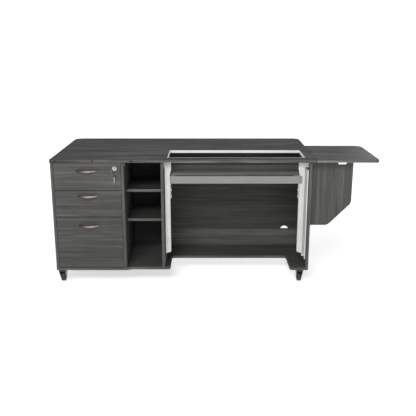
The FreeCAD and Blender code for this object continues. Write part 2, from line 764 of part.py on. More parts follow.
def column_ear(wall_x, open_x, way):
    """The cap that ties a column to the top and the panel, with a tapering ear at its front."""
    reach = open_x + way * EAR_REACH
    outline = [
        (open_x, EAR_FOOT, 0),
        (reach, EAR_SHOULDER, 0),
        (reach, EAR_TOP, 0),
        (open_x, EAR_TOP, 0),
    ]
    ear = prism(outline, "XZ", COLUMN_FRONT, COLUMN_FRONT + COLUMN_STEEL)
    side_x = panel_face(way)
    low_x, high_x = min(side_x, reach), max(side_x, reach)
    cap = block(low_x, high_x, COLUMN_FRONT, COLUMN_FRONT + COLUMN_DEPTH, EAR_TOP, TOP_UNDER)
    low_x, high_x = min(side_x, wall_x), max(side_x, wall_x)
    tie = block(low_x, high_x, COLUMN_FRONT, COLUMN_FRONT + COLUMN_STEEL, CAP_LOW, EAR_TOP)
    return joined([ear, cap, tie])


def mounting_rail():
    """The steel rail between the right column and its panel: a front lip, a web and a back leg."""
    back = COLUMN_FRONT + COLUMN_DEPTH
    steel = COLUMN_STEEL
    outline = [
        (RAIL_X + steel, RAIL_FRONT, 0),
        (RAIL_X + steel, back - steel, 0),
        (RIGHT_PANEL_X, back - steel, 0),
        (RIGHT_PANEL_X, back, 0),
        (COLUMN_RIGHT + COLUMN_WIDTH, back, 0),
        (COLUMN_RIGHT + COLUMN_WIDTH, back - steel, 0),
        (RAIL_X, back - steel, 0),
        (RAIL_X, RAIL_FRONT + steel, 0),
        (RAIL_X + steel - RAIL_LIP, RAIL_FRONT + steel, 0),
        (RAIL_X + steel - RAIL_LIP, RAIL_FRONT, 0),
    ]
    return prism(outline, "XY", RAIL_LOW, RAIL_HIGH)


def spool_pins():
    pins = []
    for wall_x, open_x, way in lift_sides():
        start = (wall_x + way * COLUMN_STEEL, COLUMN_FRONT + COLUMN_DEPTH / 2, SPOOL_Z)
        pins.append(rod(SPOOL_PIN_R, start, (way, 0, 0), COLUMN_WIDTH - COLUMN_STEEL - SPOOL_INSET))
    return pins


def lift_columns():
    pieces = []
    for side in lift_sides():
        pieces.append(lift_column(*side))
        pieces.append(column_ear(*side))
    return group(pieces + [mounting_rail()] + spool_pins())


def spring_spools():
    spools = []
    for wall_x, open_x, way in lift_sides():
        y = COLUMN_FRONT + COLUMN_DEPTH / 2
        start = (wall_x + way * (COLUMN_STEEL + SPOOL_INSET), y, SPOOL_Z)
        bore = rod(SPOOL_PIN_R + RUNNING_GAP, start, (way, 0, 0), SPOOL_LENGTH)
        spools.append(rod(SPOOL_R, start, (way, 0, 0), SPOOL_LENGTH).cut(bore))
    return group(spools)


def spring_tapes():
    """The two ribbon springs, from the fronts of their spools down to the upper glide blocks."""
    tapes = []
    for wall_x, open_x, way in lift_sides():
        start_x = wall_x + way * (COLUMN_STEEL + SPOOL_INSET + 2)
        end_x = start_x + way * TAPE_WIDTH
        y = COLUMN_FRONT + COLUMN_DEPTH / 2 - SPOOL_R - TAPE_OFF
        low_x, high_x = min(start_x, end_x), max(start_x, end_x)
        tapes.append(block(low_x, high_x, y - TAPE, y, BLOCK_TOP, SPOOL_Z))
    return group(tapes)


def lift_carriages():
    """Each carriage: a hanging plate beside the column, and a long arm with a ledge for the platform."""
    pieces = []
    top = PLATFORM_TOP - BOARD
    for wall_x, open_x, way in lift_sides():
        near = open_x + way * CARRIAGE_GAP
        far = near + way * CARRIAGE_STEEL
        front = COLUMN_FRONT + COLUMN_STEEL + 1
        back = COLUMN_FRONT + COLUMN_DEPTH - COLUMN_STEEL - 1
        outline = [
            (front, CARRIAGE_FOOT, 6),
            (back, CARRIAGE_FOOT, 6),
            (back, ARM_LOW, 0),
            (ARM_BACK, ARM_LOW, 0),
            (ARM_BACK, top, 0),
            (front, top, 0),
        ]
        plate = prism(outline, "YZ", min(near, far), max(near, far))
        ledge_x = far + way * ARM_FLANGE
        ledge = block(min(far, ledge_x), max(far, ledge_x), front, ARM_BACK, top - BAR_STEEL, top)
        pieces.append(joined([plate, ledge]))
    return group(pieces)


def lift_glide_blocks():
    """Two plastic blocks per carriage, held in its plate and running between the column's flanges."""
    blocks = []
    front = COLUMN_FRONT + COLUMN_STEEL + 0.6
    back = COLUMN_FRONT + COLUMN_DEPTH - COLUMN_STEEL - 0.6
    for wall_x, open_x, way in lift_sides():
        start_x = wall_x + way * (COLUMN_STEEL + 1)
        end_x = open_x + way * CARRIAGE_GAP
        for top in (BLOCK_TOP, BLOCK_LOW):
            low_x, high_x = min(start_x, end_x), max(start_x, end_x)
            blocks.append(block(low_x, high_x, front, back, top - BLOCK_HEIGHT, top))
    return group(blocks)


def crossbar_ledge(left, right, z):
    """A folded ledge behind the front bar's web. Its front edge is cut back clear of the columns' ears."""
    web_back = BAR_FRONT + BAR_STEEL
    ear_back = COLUMN_FRONT + COLUMN_STEEL + EAR_ROOM
    inset = EAR_REACH - CARRIAGE_GAP - CARRIAGE_STEEL + EAR_ROOM
    narrow = block(left + inset, right - inset, web_back, ear_back, z, z + BAR_STEEL)
    wide = block(left, right, ear_back, web_back + BAR_DEPTH, z, z + BAR_STEEL)
    return [narrow, wide]


def lift_crossbars():
    left = COLUMN_LEFT + COLUMN_WIDTH + CARRIAGE_GAP + CARRIAGE_STEEL
    right = COLUMN_RIGHT - CARRIAGE_GAP - CARRIAGE_STEEL
    ledge_top = PLATFORM_TOP - BOARD - BAR_STEEL
    web = block(left - CARRIAGE_STEEL, BAR_RIGHT, BAR_FRONT, BAR_FRONT + BAR_STEEL, BAR_LOW, BAR_HIGH)
    ledges = crossbar_ledge(left, right, BAR_LOW) + crossbar_ledge(left, right, ledge_top - BAR_STEEL)
    rear_bar = joined([
        block(left, right, ARM_BACK - BAR_STEEL, ARM_BACK, ARM_LOW, ledge_top),
        block(left, right, ARM_BACK - REAR_BAR_DEPTH, ARM_BACK - BAR_STEEL, ARM_LOW, ARM_LOW + BAR_STEEL),
    ])
    return group([joined([web] + ledges), rear_bar])


def platform_board():
    inset = TRIM_FLANGE + PLATFORM_GAP
    return rounded_block(
        TRIM_LEFT + inset, TRIM_RIGHT - inset, TRIM_FRONT + inset, TRIM_BACK - inset,
        PLATFORM_TOP - BOARD, PLATFORM_TOP, 5.0,
    )


# ---- gate supports ------------------------------------------------------------------------------
def right_support():
    start = SIDE_OUTER + SUPPORT_CLEAR
    reach, low, cut = RIGHT_SUPPORT_REACH, RIGHT_SUPPORT_LOW, RIGHT_SUPPORT_CHAMFER
    notch_low = SUPPORT_TOP - FINGER_NOTCH_DEPTH
    half, floor_half = FINGER_NOTCH_HALF, FINGER_NOTCH_FLOOR_HALF
    outline = [
        (start, low, 0),
        (reach - cut, low, RIGHT_SUPPORT_R),
        (reach, low + cut, RIGHT_SUPPORT_R),
        (reach, SUPPORT_TOP, SUPPORT_TIP_R),
        (FINGER_NOTCH_X + half, SUPPORT_TOP, NOTCH_LIP_R),
        (FINGER_NOTCH_X + floor_half, notch_low, FINGER_NOTCH_R),
        (FINGER_NOTCH_X - floor_half, notch_low, FINGER_NOTCH_R),
        (FINGER_NOTCH_X - half, SUPPORT_TOP, NOTCH_LIP_R),
        (start, SUPPORT_TOP, 0),
    ]
    back = RIGHT_SUPPORT_AXIS_Y - KNUCKLE_R
    return prism(outline, "XZ", back - BOARD, back)


def rear_support():
    start = BODY_BACK + SUPPORT_CLEAR
    reach, low, cut = REAR_SUPPORT_REACH, REAR_SUPPORT_LOW, REAR_SUPPORT_CHAMFER
    outline = [
        (start, low, 0),
        (reach - cut, low, REAR_SUPPORT_R),
        (reach, low + cut, REAR_SUPPORT_R),
        (reach, SUPPORT_TOP, SUPPORT_TIP_R),
        (start, SUPPORT_TOP, 0),
    ]
    near = REAR_SUPPORT_AXIS_X - KNUCKLE_R
    return prism(outline, "YZ", near - BOARD, near)


# ---- casters ------------------------------------------------------------------------------------
def caster_places():
    return {
        end + "_" + side: (x, y) for end, y in CASTER_YS.items() for side, x in CASTER_XS.items()
    }


def caster_plates():
    pieces = []
    half = CASTER_PLATE / 2
    for x, y in caster_places().values():
        plate = rounded_block(x - half, x + half, y - half, y + half, CASTER_PLATE_LOW, CARCASS_Z, 6.0)
        boss = rod(CASTER_BOSS_R, (x, y, CASTER_BOSS_LOW), (0, 0, 1), CASTER_PLATE_LOW - CASTER_BOSS_LOW)
        pin = rod(KINGPIN_R, (x, y, KINGPIN_LOW), (0, 0, 1), CASTER_BOSS_LOW - KINGPIN_LOW)
        pieces.append(joined([plate, boss, pin]))
        for dx in (-18, 18):
            for dy in (-18, 18):
                head = rod(2.6, (x + dx, y + dy, CASTER_PLATE_LOW - 1.2), (0, 0, 1), 1.2)
                pieces.append(head)
    return group(pieces)


def caster_fork(x, y):
    """A hooded fork, wide at its crown and narrow at the axle, and the axle through its cheeks."""
    axle_z = WHEEL_R
    front_view = prism(
        [
            (x - FORK_LOW_HALF, axle_z - 10, 0),
            (x + FORK_LOW_HALF, axle_z - 10, 0),
            (x + FORK_TOP_HALF, FORK_TOP, 5),
            (x - FORK_TOP_HALF, FORK_TOP, 5),
        ],
        "XZ", y - 30, y + 60,
    )
    side_view = prism(
        [
            (y + WHEEL_TRAIL - 11, axle_z - 11, 10.5),
            (y + WHEEL_TRAIL + 11, axle_z - 11, 10.5),
            (y + 34, 60, 14),
            (y + 25, FORK_TOP, 9),
            (y - 21, FORK_TOP, 7),
            (y - 19, 62, 12),
        ],
        "YZ", x - 30, x + 30,
    )
    room = block(
        x - WHEEL_HALF - 1, x + WHEEL_HALF + 1, y - 40, y + 70, axle_z - 20, FORK_CROWN_LOW - 8
    )
    bore = rod(KINGPIN_R + RUNNING_GAP, (x, y, axle_z), (0, 0, 1), FORK_TOP)
    axle_hole = rod(AXLE_R, (x - 30, y + WHEEL_TRAIL, axle_z), (1, 0, 0), 60)
    fork = front_view.common(side_view).cut(room).cut(bore).cut(axle_hole)
    axle = rod(AXLE_R, (x - FORK_LOW_HALF - 1.5, y + WHEEL_TRAIL, axle_z), (1, 0, 0), 2 * FORK_LOW_HALF + 3)
    return group(fork.Solids + [axle])


def caster_wheel(x, y):
    tread = rod(WHEEL_R, (x - WHEEL_HALF, y + WHEEL_TRAIL, WHEEL_R), (1, 0, 0), 2 * WHEEL_HALF)
    tread = tread.makeFillet(4.0, tread.Edges[0:1] + tread.Edges[2:3])
    bore_start = (x - WHEEL_HALF - 1, y + WHEEL_TRAIL, WHEEL_R)
    bore = rod(AXLE_R + RUNNING_GAP, bore_start, (1, 0, 0), 2 * WHEEL_HALF + 2)
    return tread.cut(bore)


# ---- all nodes ----------------------------------------------------------------------------------
def build():
    nodes = {
        "main_top": main_top(),
        "opening_trim": opening_trim(),
        "right_leaf": right_leaf(),
        "rear_leaf": rear_leaf(),
        "left_side_panel": upright(LEFT_X, CARCASS_Z, BODY_BACK),
        "drawer_bay_divider": upright(DRAWER_DIVIDER_X, FLOOR_Z, BODY_BACK - BACK_SHEET),
        "knee_divider": upright(KNEE_DIVIDER_X, FLOOR_Z, BODY_BACK),
        "right_side_panel": upright(RIGHT_PANEL_X, CARCASS_Z, BODY_BACK),
        "base_board": base_board(),
        "pedestal_back_panel": pedestal_back_panel(),
        "knee_back_panel": knee_back_panel(),
        "knee_back_rail": knee_back_rail(),
        "shelf_pins": shelf_pins(),
        "fixing_brackets": fixing_brackets(),
        "fixed_hinge_leaves": fixed_hinge_leaves(),
        "right_leaf_hinge_leaves": moving_leaves(right_leaf_hinges()),
        "rear_leaf_hinge_leaves": moving_leaves(rear_leaf_hinges()),
        "right_support_hinge_leaves": moving_leaves(right_support_hinges()),
        "rear_support_hinge_leaves": moving_leaves(rear_support_hinges()),
        "slide_cabinet_members": slide_cabinet_members(),
        "lock_body": lock_body(),
        "lock_plug": lock_plug(),
        "lock_key": lock_key(),
        "key_ring": key_ring(),
        "spare_key": spare_key(),
        "lift_columns": lift_columns(),
        "spring_spools": spring_spools(),
        "spring_tapes": spring_tapes(),
        "lift_carriages": lift_carriages(),
        "lift_glide_blocks": lift_glide_blocks(),
        "lift_crossbars": lift_crossbars(),
        "platform_board": platform_board(),
        "right_support": right_support(),
        "rear_support": rear_support(),
        "caster_plates": caster_plates(),
    }
    for name, top in SHELF_TOPS.items():
        nodes[name] = shelf(top)
    for name in DRAWERS:
        nodes[name + "_front"] = drawer_front(name)
        nodes[name + "_box"] = drawer_box(name)
        nodes[name + "_slide_members"] = slide_drawer_members(name)
        nodes[name + "_middle_members"] = slide_middle_members(name)
        nodes[name + "_handle"] = bow_handle(name)
    for place, (x, y) in caster_places().items():
        nodes[place + "_caster_fork"] = caster_fork(x, y)
        nodes[place + "_caster_wheel"] = caster_wheel(x, y)
    return nodes


os.makedirs("parts", exist_ok=True)
for node_name, shape in build().items():
    if not shape.isValid():
        print("not valid:", node_name)
    shape.exportStep("parts/" + node_name + ".step")
    print(node_name, len(shape.Solids), round(shape.Volume))
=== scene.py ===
import math
import bmesh
import bpy
from mathutils import Matrix, Vector


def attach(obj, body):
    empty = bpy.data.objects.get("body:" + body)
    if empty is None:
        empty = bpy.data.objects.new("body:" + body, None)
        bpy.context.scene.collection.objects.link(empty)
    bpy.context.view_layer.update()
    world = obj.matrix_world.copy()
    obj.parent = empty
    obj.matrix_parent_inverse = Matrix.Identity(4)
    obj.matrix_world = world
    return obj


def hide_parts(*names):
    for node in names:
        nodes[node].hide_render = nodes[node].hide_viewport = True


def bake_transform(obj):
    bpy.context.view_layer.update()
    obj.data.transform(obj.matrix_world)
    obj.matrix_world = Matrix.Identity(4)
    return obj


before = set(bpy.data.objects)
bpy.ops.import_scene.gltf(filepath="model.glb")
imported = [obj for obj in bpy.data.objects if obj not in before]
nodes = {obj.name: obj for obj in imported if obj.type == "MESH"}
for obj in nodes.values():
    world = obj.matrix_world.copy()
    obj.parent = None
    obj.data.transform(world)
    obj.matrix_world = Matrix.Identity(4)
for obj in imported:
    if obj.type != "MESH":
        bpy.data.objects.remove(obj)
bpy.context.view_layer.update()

# ---- camera, in metres and millimetres of lens ----------------------------------------------------
CAMERA_PLACE = (-0.036, -3.880, 1.4446)
CAMERA_TILT = math.radians(74.6)
CAMERA_LENS = 54.0
CAMERA_SENSOR = 36.0

# ---- light ----------------------------------------------------------------------------------------
# The floor glows faintly near the object, where its shadow shows, and more further away.
NEAR_GLOW = 0.56
FAR_GLOW = 0.75
GLOW_REACH = 4.0
WORLD_LIGHT = 0.30
# name, place, aim, width, height, watts
SOFTBOXES = (
    ("key", (-0.9, -4.0, 3.1), (0, 0, 0.35), 2.4, 1.4, 122),
    ("fill", (0.4, -4.6, 1.4), (0.0, 0, 0.5), 2.0, 1.6, 11),
    ("right", (1.9, 2.3, 1.25), (0.9, 0, 0.76), 0.8, 0.9, 12),
)

# ---- softened edges on CAD pieces, in metres ------------------------------------------------------
WELD = 0.00002
BOARD_BEVEL = 0.0008
STEEL_BEVEL = 0.0004
BEVEL_ANGLE = math.radians(40)

# ---- places that the finishes and the handles' painted reflection follow, in metres ---------------
SPARE_NECK = 0.666
SPARE_NECK_BLEND = 0.003
# The handles' painted reflection: dark at their left ends and bright at their right ends, as if the
# bronze mirrored dark and bright surroundings.
HANDLE_PAINTED_REFLECTION = (-0.780, -0.715)

# ---- laminate: how much the boards reflect, and their dark, middle and light grain ----------------
BOARD_GLOSS = 0.16
TOP_GLOSS = 0.03
TOP_SPREAD = 1.7
TOP_CONTRAST = 2.6
GRAIN = (0.050, 0.092, 0.156)
GRAIN_TINT = (1.0, 0.985, 0.945)
GRAIN_MIDDLE = 0.51
GRAIN_HALF_SPAN = 0.21
STREAK_SHARE = 0.62
BROAD_SHARE = 0.38
# how fine each layer of the grain is, along it and across it
BROAD_BANDS = (0.9, 13)
STREAKS = (1.6, 60)
FINE_LINES = (9, 420)
PORES = (38, 1500)
# an edge face of a flat-lying board has an upward part of its normal below this
EDGE_NORMAL = 0.6

# ---- groups of CAD nodes --------------------------------------------------------------------------
HORIZONTAL = (
    "main_top", "rear_leaf", "right_leaf", "base_board", "upper_shelf", "lower_shelf",
    "platform_board", "knee_back_panel", "knee_back_rail",
    "top_drawer_front", "middle_drawer_front", "file_drawer_front",
)
UPRIGHT = (
    "left_side_panel", "drawer_bay_divider", "knee_divider", "right_side_panel",
    "right_support", "rear_support",
)
DRAWERS = ("top_drawer", "middle_drawer", "file_drawer")
CASTERS = ("front_left_caster", "front_right_caster", "rear_left_caster", "rear_right_caster")


# ---- node material helpers ----------------------------------------------------------------------
class Tree:
    """A short way to write a material's nodes."""

    def __init__(self, name):
        self.material = bpy.data.materials.new(name)
        self.material.use_nodes = True
        self.nodes = self.material.node_tree.nodes
        self.links = self.material.node_tree.links
        self.shader = self.nodes["Principled BSDF"]

    def add(self, kind, **settings):
        """A new node, with its settings."""
        node = self.nodes.new(kind)
        for key, value in settings.items():
            setattr(node, key, value)
        return node

    def link(self, source, target):
        self.links.new(source, target)

    def value(self, socket, amount):
        self.shader.inputs[socket].default_value = amount

    def place(self, scale, offset=(0, 0, 0)):
        """Object coordinates, scaled, for a texture to read."""
        coords = self.add("ShaderNodeTexCoord")
        mapping = self.add("ShaderNodeMapping")
        mapping.inputs["Scale"].default_value = scale
        mapping.inputs["Location"].default_value = offset
        self.link(coords.outputs["Object"], mapping.inputs["Vector"])
        return mapping.outputs["Vector"]

    def noise(self, vector, scale=1.0, detail=3.0, rough=0.5, distortion=0.0):
        node = self.add("ShaderNodeTexNoise")
        node.inputs["Scale"].default_value = scale
        node.inputs["Detail"].default_value = detail
        node.inputs["Roughness"].default_value = rough
        node.inputs["Distortion"].default_value = distortion
        self.link(vector, node.inputs["Vector"])
        return node.outputs["Fac"]

    def ramp(self, fac, stops):
        """A colour for each amount: stops are (place, colour or grey)."""
        node = self.add("ShaderNodeValToRGB")
        band = node.color_ramp
        while len(band.elements) < len(stops):
            band.elements.new(0.5)
        for element, (position, shade) in zip(band.elements, stops):
            element.position = position
            grey = (shade, shade, shade)
            element.color = (*(shade if isinstance(shade, tuple) else grey), 1)
        self.link(fac, node.inputs["Fac"])
        return node.outputs["Color"]

    def mix(self, kind, fac, first, second):
        """Two colours combined. Each input is a socket or a fixed value."""
        node = self.add("ShaderNodeMix", data_type="RGBA", blend_type=kind)
        for socket, source in ((0, fac), (6, first), (7, second)):
            if isinstance(source, bpy.types.NodeSocket):
                self.link(source, node.inputs[socket])
            elif socket == 0:
                node.inputs[socket].default_value = source
            else:
                node.inputs[socket].default_value = (*source, 1)
        return node.outputs[2]

    def maths(self, operation, first, second):
        node = self.add("ShaderNodeMath", operation=operation)
        for socket, source in ((0, first), (1, second)):
            if isinstance(source, bpy.types.NodeSocket):
                self.link(source, node.inputs[socket])
            else:
                node.inputs[socket].default_value = source
        return node.outputs[0]

    def fade(self, letter, start, end, first, last):
        """A smooth change of strength along one object axis."""
        coords = self.add("ShaderNodeTexCoord")
        parts = self.add("ShaderNodeSeparateXYZ")
        self.link(coords.outputs["Object"], parts.inputs[0])
        span = self.add("ShaderNodeMapRange", interpolation_type="SMOOTHSTEP")
        settings = {"From Min": start, "From Max": end, "To Min": first, "To Max": last}
        for socket, amount in settings.items():
            span.inputs[socket].default_value = amount
        self.link(parts.outputs[letter], span.inputs["Value"])
        return span.outputs["Result"]

    def upright(self):
        """1 on a board's upright edge faces, 0 on its flat faces."""
        coords = self.add("ShaderNodeTexCoord")
        parts = self.add("ShaderNodeSeparateXYZ")
        self.link(coords.outputs["Normal"], parts.inputs[0])
        flatness = self.maths("ABSOLUTE", parts.outputs["Z"], 0.0)
        return self.maths("LESS_THAN", flatness, EDGE_NORMAL)

    def bump(self, height, strength, distance):
        node = self.add("ShaderNodeBump")
        node.inputs["Strength"].default_value = strength
        node.inputs["Distance"].default_value = distance
        self.link(height, node.inputs["Height"])
        self.link(node.outputs["Normal"], self.shader.inputs["Normal"])


def grain_scale(axis, along, across):
    """Scales for a texture that is stretched along one axis."""
    return tuple(along if letter == axis else across for letter in "XYZ")


def laminate(name, axis, seed, shade=1.0, spread=1.0, contrast=1.0, edge=1.0, gloss=BOARD_GLOSS):
    """Dark ash-grey wood-grain laminate. axis is the way the grain runs; shade scales its colour, and
    on most boards it stands for painted light or shade; spread widens its streaks, contrast deepens
    them, and edge lightens the upright banded edges of a flat-lying board, a painted light on the faces
    that catch more light."""
    tree = Tree(name)
    offset = (seed * 1.37, seed * 2.11, seed * 0.73)
    along, across = BROAD_BANDS
    broad = tree.noise(tree.place(grain_scale(axis, along, across / spread), offset), 1.6, 3, 0.5, 0.6)
    along, across = STREAKS
    streak = tree.noise(tree.place(grain_scale(axis, along, across / spread), offset), 1.5, 4, 0.6, 0.3)
    fine = tree.noise(tree.place(grain_scale(axis, *FINE_LINES), offset), 1.0, 3, 0.65)
    pores = tree.noise(tree.place(grain_scale(axis, *PORES), offset), 1.0, 2, 0.5)
    reach = GRAIN_HALF_SPAN / contrast
    places = (GRAIN_MIDDLE - reach, GRAIN_MIDDLE + 0.01, GRAIN_MIDDLE + reach)
    stops = [(place, tuple(tone * shade * c for c in GRAIN_TINT)) for place, tone in zip(places, GRAIN)]
    streak_part = tree.maths("MULTIPLY", streak, STREAK_SHARE)
    broad_part = tree.maths("MULTIPLY", broad, BROAD_SHARE)
    colour = tree.ramp(tree.maths("ADD", streak_part, broad_part), stops)
    colour = tree.mix("MULTIPLY", 0.75, colour, tree.ramp(fine, [(0.3, 0.72), (0.62, 1.12)]))
    colour = tree.mix("MULTIPLY", 0.8, colour, tree.ramp(pores, [(0.30, 0.55), (0.40, 1.0)]))
    # Painted light: the upright edge faces are made lighter, as if they caught more light than the flat
    # faces.
    if edge != 1.0:
        colour = tree.mix("MULTIPLY", tree.upright(), colour, (edge, edge, edge))
    tree.link(colour, tree.shader.inputs["Base Color"])
    rough = tree.ramp(fine, [(0.25, 0.62), (0.75, 0.48)])
    tree.link(rough, tree.shader.inputs["Roughness"])
    tree.value("Specular IOR Level", gloss)
    height = tree.maths("ADD", tree.maths("MULTIPLY", fine, 0.5), pores)
    tree.bump(height, 0.25, 0.0004)
    return tree.material


def painted(name, colour, rough, grain=700.0, specular=0.5, bump=0.12):
    """Paint, powder coat or moulded plastic: a fine orange-peel surface with slight unevenness."""
    tree = Tree(name)
    fine = tree.noise(tree.place((1, 1, 1)), grain, 3, 0.6)
    broad = tree.noise(tree.place((1, 1, 1)), 9.0, 2, 0.5)
    spread = tree.ramp(broad, [(0.3, 0.94), (0.7, 1.06)])
    tree.link(tree.mix("MULTIPLY", 1.0, colour, spread), tree.shader.inputs["Base Color"])
    polish = tree.ramp(fine, [(0.3, rough - 0.06), (0.7, rough + 0.06)])
    tree.link(polish, tree.shader.inputs["Roughness"])
    tree.value("Specular IOR Level", specular)
    tree.bump(fine, bump, 0.0003)
    return tree.material


def brushed(name, colour, rough, axis="X", fade=None):
    """Metal with fine brush lines along an axis. fade is (letter, from, to, first, last): the colour
    goes from the first strength to the last between two places on that axis, in metres; on the handles
    this is a painted reflection."""
    tree = Tree(name)
    lines = tree.noise(tree.place(grain_scale(axis, 40, 2200)), 1.0, 3, 0.6)
    broad = tree.noise(tree.place((1, 1, 1)), 14.0, 2, 0.5)
    spread = tree.ramp(lines, [(0.3, 0.82), (0.7, 1.08)])
    shaded = tree.mix("MULTIPLY", 0.8, colour, spread)
    if fade:
        shaded = tree.mix("MULTIPLY", 1.0, shaded, tree.fade(*fade))
    tree.link(shaded, tree.shader.inputs["Base Color"])
    polish = tree.ramp(broad, [(0.3, rough - 0.05), (0.7, rough + 0.07)])
    tree.link(polish, tree.shader.inputs["Roughness"])
    tree.value("Metallic", 1.0)
    tree.bump(lines, 0.15, 0.0001)
    return tree.material


def dress(node_name, material, bevel=0.0):
    """A CAD node keeps its shape and gets a material, and softened edges where bevel is above 0."""
    thing = nodes[node_name]
    thing.data.materials.clear()
    thing.data.materials.append(material)
    if bevel > 0:
        weld = thing.modifiers.new("weld", "WELD")
        weld.merge_threshold = WELD
        rounding = thing.modifiers.new("edges", "BEVEL")
        rounding.width = bevel
        rounding.segments = 2
        rounding.limit_method = "ANGLE"
        rounding.angle_limit = BEVEL_ANGLE
        rounding.harden_normals = True


# ---- materials ----------------------------------------------------------------------------------
WHITE_TRIM = painted("white_trim", (0.90, 0.90, 0.88), 0.45, 500)
LIFT_GREY = painted("lift_grey", (0.58, 0.58, 0.565), 0.42, 900, bump=0.2)
BAR_GREY = painted("bar_grey", (0.215, 0.215, 0.209), 0.45, 900, bump=0.2)
ZINC = brushed("zinc", (0.62, 0.63, 0.65), 0.34, "Y")
# Painted reflection: the bronze handles darken towards their left ends.
BRONZE = brushed("satin_bronze", (0.30, 0.25, 0.225), 0.20, "X", ("X", *HANDLE_PAINTED_REFLECTION, 0.25, 1.0))
NICKEL = brushed("nickel", (0.52, 0.485, 0.44), 0.22, "Z")
SPARE_NICKEL = brushed("spare_nickel", (0.42, 0.40, 0.37), 0.25, "Z",
                       ("Z", SPARE_NECK, SPARE_NECK + SPARE_NECK_BLEND, 1.0, 0.2))
PLUG_BLACK = painted("plug_black", (0.006, 0.006, 0.006), 0.7, 900, specular=0.1)
# Painted shade: the hinge leaves get a dark steel so that their knuckles at the seams, in the shade
# under the leaves, show no light spot.
HINGE_STEEL = brushed("hinge_steel", (0.16, 0.155, 0.15), 0.42, "Y")
RING_STEEL = brushed("ring_steel", (0.30, 0.29, 0.28), 0.28, "Z")
BLACK_NYLON = painted("black_nylon", (0.022, 0.022, 0.023), 0.5, 900)
BLACK_STEEL = painted("black_steel", (0.012, 0.012, 0.012), 0.3, 800)
CASTER_GLOSS = painted("caster_gloss", (0.010, 0.010, 0.010), 0.16, 600, bump=0.04)
TREAD = painted("caster_tread", (0.016, 0.016, 0.017), 0.55, 1200)
DRAWER_BOARD = painted("drawer_board", (0.46, 0.455, 0.44), 0.5, 900)

# Each board's shade, and how much lighter its banded edges are: mostly painted light and shade, lit and
# shaded copies of one laminate.
# The main top, the rear leaf, the knee back panel, the shelf tops and the lower drawer fronts are
# painted darker where shade falls; the right leaf (its sheen), the knee rail, the platform and the
# edges of the top and the shelves are painted lighter where light falls.
# The three top boards have broader, stronger streaks and less gloss than the rest.
BOARD_PAINTED_LIGHT = {
    "main_top": 0.72, "rear_leaf": 0.60, "right_leaf": 1.05,
    "knee_back_panel": 0.56, "knee_back_rail": 1.1, "platform_board": 1.9,
    "file_drawer_front": 0.76, "middle_drawer_front": 0.86, "top_drawer_front": 0.95,
    "upper_shelf": 0.65, "lower_shelf": 0.65, "base_board": 0.95,
}
EDGE_PAINTED_LIGHT = {"main_top": 1.6, "right_leaf": 1.2, "upper_shelf": 2.3, "lower_shelf": 2.3}
TOP_BOARDS = ("main_top", "rear_leaf", "right_leaf")
for seed, name in enumerate(HORIZONTAL):
    shade, edge = BOARD_PAINTED_LIGHT.get(name, 1.0), EDGE_PAINTED_LIGHT.get(name, 1.0)
    finish = (TOP_SPREAD, TOP_CONTRAST, edge, TOP_GLOSS) if name in TOP_BOARDS else (1.0, 1.0, edge)
    dress(name, laminate("laminate_" + name, "X", seed + 1, shade, *finish), BOARD_BEVEL)
for seed, name in enumerate(UPRIGHT):
    dress(name, laminate("laminate_" + name, "Z", seed + 31, BOARD_PAINTED_LIGHT.get(name, 1.0)), BOARD_BEVEL)
# Painted shade: the pedestal's back sheet is made much darker, standing in for the shade deep in the
# shelf bays.
dress("pedestal_back_panel", laminate("laminate_back_sheet", "X", 53, 0.45))
dress("opening_trim", WHITE_TRIM, STEEL_BEVEL)
for name in ("lift_columns", "lift_carriages"):
    dress(name, LIFT_GREY, STEEL_BEVEL)
dress("lift_crossbars", BAR_GREY, STEEL_BEVEL)
for name in ("shelf_pins", "fixing_brackets", "slide_cabinet_members"):
    dress(name, ZINC)
for name in ("fixed_hinge_leaves", "right_leaf_hinge_leaves", "rear_leaf_hinge_leaves",
             "right_support_hinge_leaves", "rear_support_hinge_leaves"):
    dress(name, HINGE_STEEL)
for drawer in DRAWERS:
    dress(drawer + "_box", DRAWER_BOARD, BOARD_BEVEL)
    dress(drawer + "_slide_members", ZINC)
    dress(drawer + "_middle_members", ZINC)
    dress(drawer + "_handle", BRONZE)
for name in ("lock_body", "lock_plug", "lock_key"):
    dress(name, NICKEL)
dress("spare_key", SPARE_NICKEL)
dress("key_ring", RING_STEEL)
dress("spring_spools", BLACK_NYLON)
dress("lift_glide_blocks", BLACK_NYLON)
dress("caster_plates", BLACK_STEEL)
for caster in CASTERS:
    dress(caster + "_fork", CASTER_GLOSS)


# ---- turned pieces ------------------------------------------------------------------------------
def lathe(name, profile, place, axis, material, body, segments):
    """A turned piece: profile is (radius, height) pairs in mm, spun about axis at place in mm."""
    way = Vector(axis).normalized()
    turn = Vector((0, 0, 1)).rotation_difference(way).to_matrix().to_4x4()
    shift = Matrix.Translation(Vector(place) / 1000)
    form = bmesh.new()
    rings = []
    for radius, height in profile:
        ring = []
        for i in range(segments):
            angle = 2 * math.pi * i / segments
            spot = (radius * math.cos(angle) / 1000, radius * math.sin(angle) / 1000, height / 1000)
            ring.append(form.verts.new(spot))
        rings.append(ring)
    for low, up in zip(rings, rings[1:]):
        for i in range(segments):
            j = (i + 1) % segments
            form.faces.new((low[i], low[j], up[j], up[i])).smooth = True
    form.faces.new(list(reversed(rings[0])))
    form.faces.new(rings[-1])
    form.transform(shift @ turn)
    mesh = bpy.data.meshes.new(name)
    form.to_mesh(mesh)
    form.free()
    mesh.materials.append(material)
    thing = bpy.data.objects.new(name, mesh)
    bpy.context.scene.collection.objects.link(thing)
    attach(thing, body)
    return thing


SMALL_SEGMENTS = 20
BOLT_SEGMENTS = 24
WHEEL_SEGMENTS = 64

